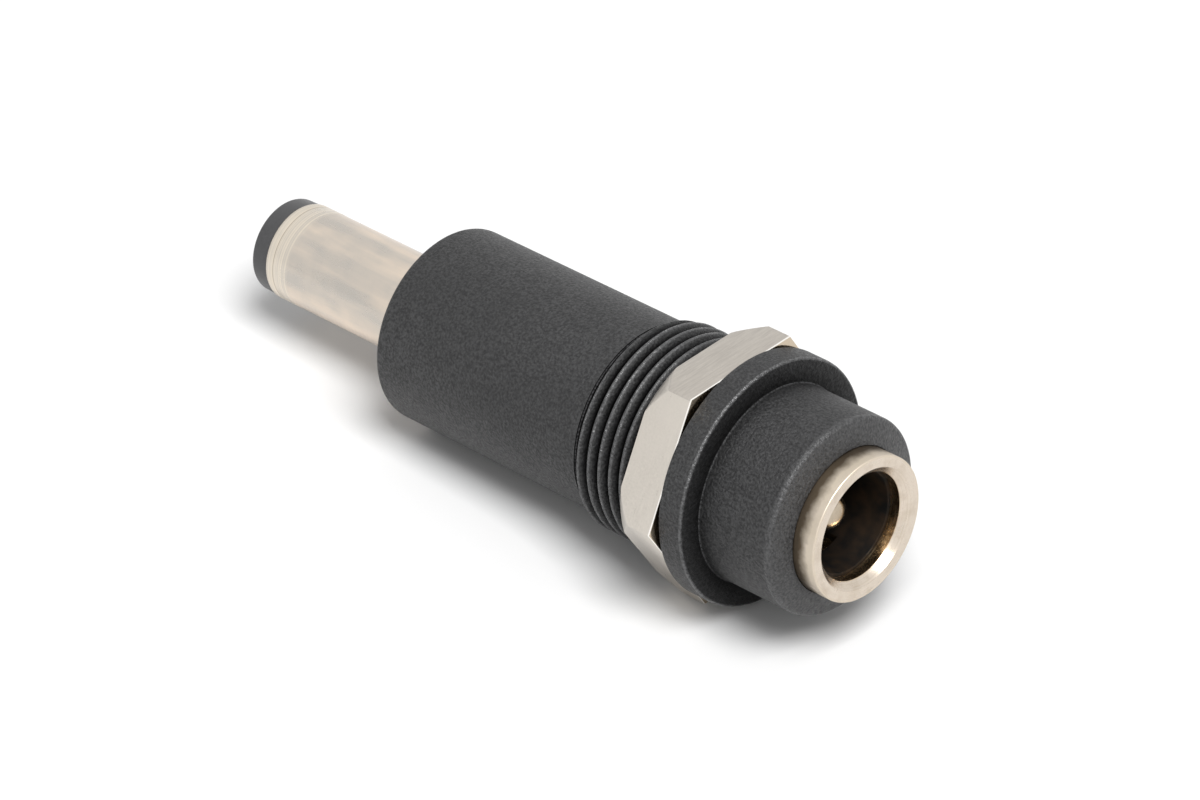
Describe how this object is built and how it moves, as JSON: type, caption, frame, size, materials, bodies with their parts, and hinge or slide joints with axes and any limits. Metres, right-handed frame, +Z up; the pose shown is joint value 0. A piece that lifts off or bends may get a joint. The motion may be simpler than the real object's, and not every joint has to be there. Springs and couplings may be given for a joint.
{
  "type": "dc barrel adapter",
  "caption": "Panel-mount power adapter with a male barrel plug at one end, a female barrel socket at the other, and a threaded, flanged housing with a hexagon lock nut.",
  "frame": {"origin": "on the axis, in the rear face of the flange that seats on a panel", "axes": "+X along the axis towards the socket, the plug towards -X, +Z up, the nut turned 5.8 degrees about -X from having a flat square to it"},
  "size_m": [0.042, 0.0144, 0.0136],
  "materials": {
    "black_housing": "fine-grained matte",
    "nut_nickel": "brushed nickel plate",
    "socket_nickel": "polished nickel plate",
    "black_liner": "matte",
    "pin_nickel": "polished nickel plate",
    "washer_board": "matte laminate",
    "spring_bronze": "bright",
    "plug_nickel": "satin nickel plate",
    "black_tip": "satin",
    "contact_brass": "bright",
    "copper": "tinned copper",
    "red_jacket": "satin",
    "black_jacket": "satin",
    "solder": "bright"
  },
  "bodies": {
    "body": {"housing": "black_housing", "socket_shell": "socket_nickel", "socket_liner": "black_liner", "centre_pin": "pin_nickel", "socket_washer": "washer_board", "sleeve_leaf": "spring_bronze", "plug_barrel": "plug_nickel", "plug_insulator": "black_tip", "plug_contact": "contact_brass", "plug_lug": "spring_bronze", "plug_washer": "washer_board", "positive_core": "copper", "positive_jacket": "red_jacket", "negative_core": "copper", "negative_jacket": "black_jacket", "pin_solder": "solder", "contact_solder": "solder", "leaf_solder": "solder", "lug_solder": "solder"},
    "nut": {"lock_nut": "nut_nickel"}
  },
  "joints": [
    {"name": "nut_travel", "type": "slide", "parent": "body", "child": "nut", "axis": [-1, 0, 0], "range_m": [-0.00015, 0.0345]}
  ]
}
